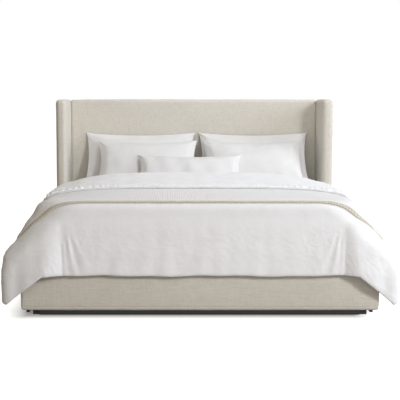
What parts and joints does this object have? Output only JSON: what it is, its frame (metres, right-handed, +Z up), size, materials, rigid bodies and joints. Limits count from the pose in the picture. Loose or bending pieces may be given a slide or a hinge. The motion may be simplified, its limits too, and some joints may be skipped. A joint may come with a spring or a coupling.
{
  "type": "upholstered bed",
  "caption": "King-size platform bed with an upholstered headboard, forward wings and low rails, made up with mattress, white duvet, knitted coverlet and leaning pillows.",
  "frame": {"origin": "on the floor, under the middle of the bed's overall length and width", "axes": "+X across the bed, to the right as seen from its foot; +Y from the foot to the headboard; +Z up"},
  "size_m": [2.334, 2.3545, 1.261],
  "materials": {
    "linen": "natural linen-look weave with slubs",
    "upholstery_foam": "open-cell foam",
    "pillow_fill": "down-proof cotton over filling",
    "white_cotton": "white percale cotton",
    "waffle_knit": "ivory waffle knit",
    "knit_border": "beige knitted edge",
    "ticking": "quilted mattress ticking",
    "back_cloth": "plain woven back cloth",
    "webbing": "woven polyester strap",
    "timber": "planed softwood",
    "black_stain": "black stained, matt",
    "zinc_steel": "zinc plated",
    "glide": "moulded black nylon with a steel stem"
  },
  "bodies": {
    "frame": {"beam_hangers": "zinc_steel", "bracket_screws": "zinc_steel", "centre_beam": "timber", "centre_leg_1": "timber", "centre_leg_2": "timber", "centre_leg_3": "timber", "cleat_screws": "zinc_steel", "corner_angles": "zinc_steel", "corner_feet": "black_stain", "foot_rail_board": "timber", "foot_rail_cover": "linen", "foot_rail_foam": "upholstery_foam", "front_plinth": "black_stain", "headboard_back_cloth": "back_cloth", "headboard_bottom_rail": "timber", "headboard_cover": "linen", "headboard_face_board": "timber", "headboard_foam": "upholstery_foam", "headboard_posts": "timber", "headboard_top_rail": "timber", "left_cleat": "timber", "left_plinth": "black_stain", "left_rail_board": "timber", "left_rail_cover": "linen", "left_rail_foam": "upholstery_foam", "left_wing_board": "timber", "left_wing_cover": "linen", "left_wing_foam": "upholstery_foam", "leg_inserts": "zinc_steel", "rail_studs": "zinc_steel", "right_cleat": "timber", "right_plinth": "black_stain", "right_rail_board": "timber", "right_rail_cover": "linen", "right_rail_foam": "upholstery_foam", "right_wing_board": "timber", "right_wing_cover": "linen", "right_wing_foam": "upholstery_foam", "slat_straps": "webbing", "slats": "timber"},
    "mattress": {"mattress_core": "upholstery_foam", "mattress_ticking": "ticking", "mattress_tapes": "ticking", "fitted_sheet": "white_cotton"},
    "bedding": {"duvet": "white_cotton", "duvet_turnback": "white_cotton", "coverlet": "waffle_knit", "coverlet_border": "knit_border"},
    "back_pillows": {"left_back_pillowcase": "white_cotton", "right_back_pillowcase": "white_cotton", "back_pillow_fillings": "pillow_fill"},
    "front_pillows": {"left_front_pillowcase": "white_cotton", "right_front_pillowcase": "white_cotton", "front_pillow_fillings": "pillow_fill"},
    "lumbar_pillow": {"lumbar_pillowcase": "white_cotton", "lumbar_filling": "pillow_fill"},
    "glide_1": {"levelling_glide_1": "glide"},
    "glide_2": {"levelling_glide_2": "glide"},
    "glide_3": {"levelling_glide_3": "glide"}
  },
  "joints": [
    {"name": "mattress_lift", "type": "slide", "parent": "frame", "child": "mattress", "axis": [0, 0, 1], "range_m": [0, 0.45]},
    {"name": "bedding_lift", "type": "slide", "parent": "mattress", "child": "bedding", "axis": [0, 0, 1], "range_m": [0, 0.6]},
    {"name": "back_pillows_lift", "type": "slide", "parent": "mattress", "child": "back_pillows", "axis": [0, 0, 1], "range_m": [0, 0.4]},
    {"name": "front_pillows_lift", "type": "slide", "parent": "back_pillows", "child": "front_pillows", "axis": [0, 0, 1], "range_m": [0, 0.4]},
    {"name": "lumbar_pillow_lift", "type": "slide", "parent": "front_pillows", "child": "lumbar_pillow", "axis": [0, 0, 1], "range_m": [0, 0.4]},
    {"name": "glide_1_height", "type": "slide", "parent": "frame", "child": "glide_1", "axis": [0, 0, -1], "range_m": [0, 0.015]},
    {"name": "glide_2_height", "type": "slide", "parent": "frame", "child": "glide_2", "axis": [0, 0, -1], "range_m": [0, 0.015]},
    {"name": "glide_3_height", "type": "slide", "parent": "frame", "child": "glide_3", "axis": [0, 0, -1], "range_m": [0, 0.015]}
  ]
}
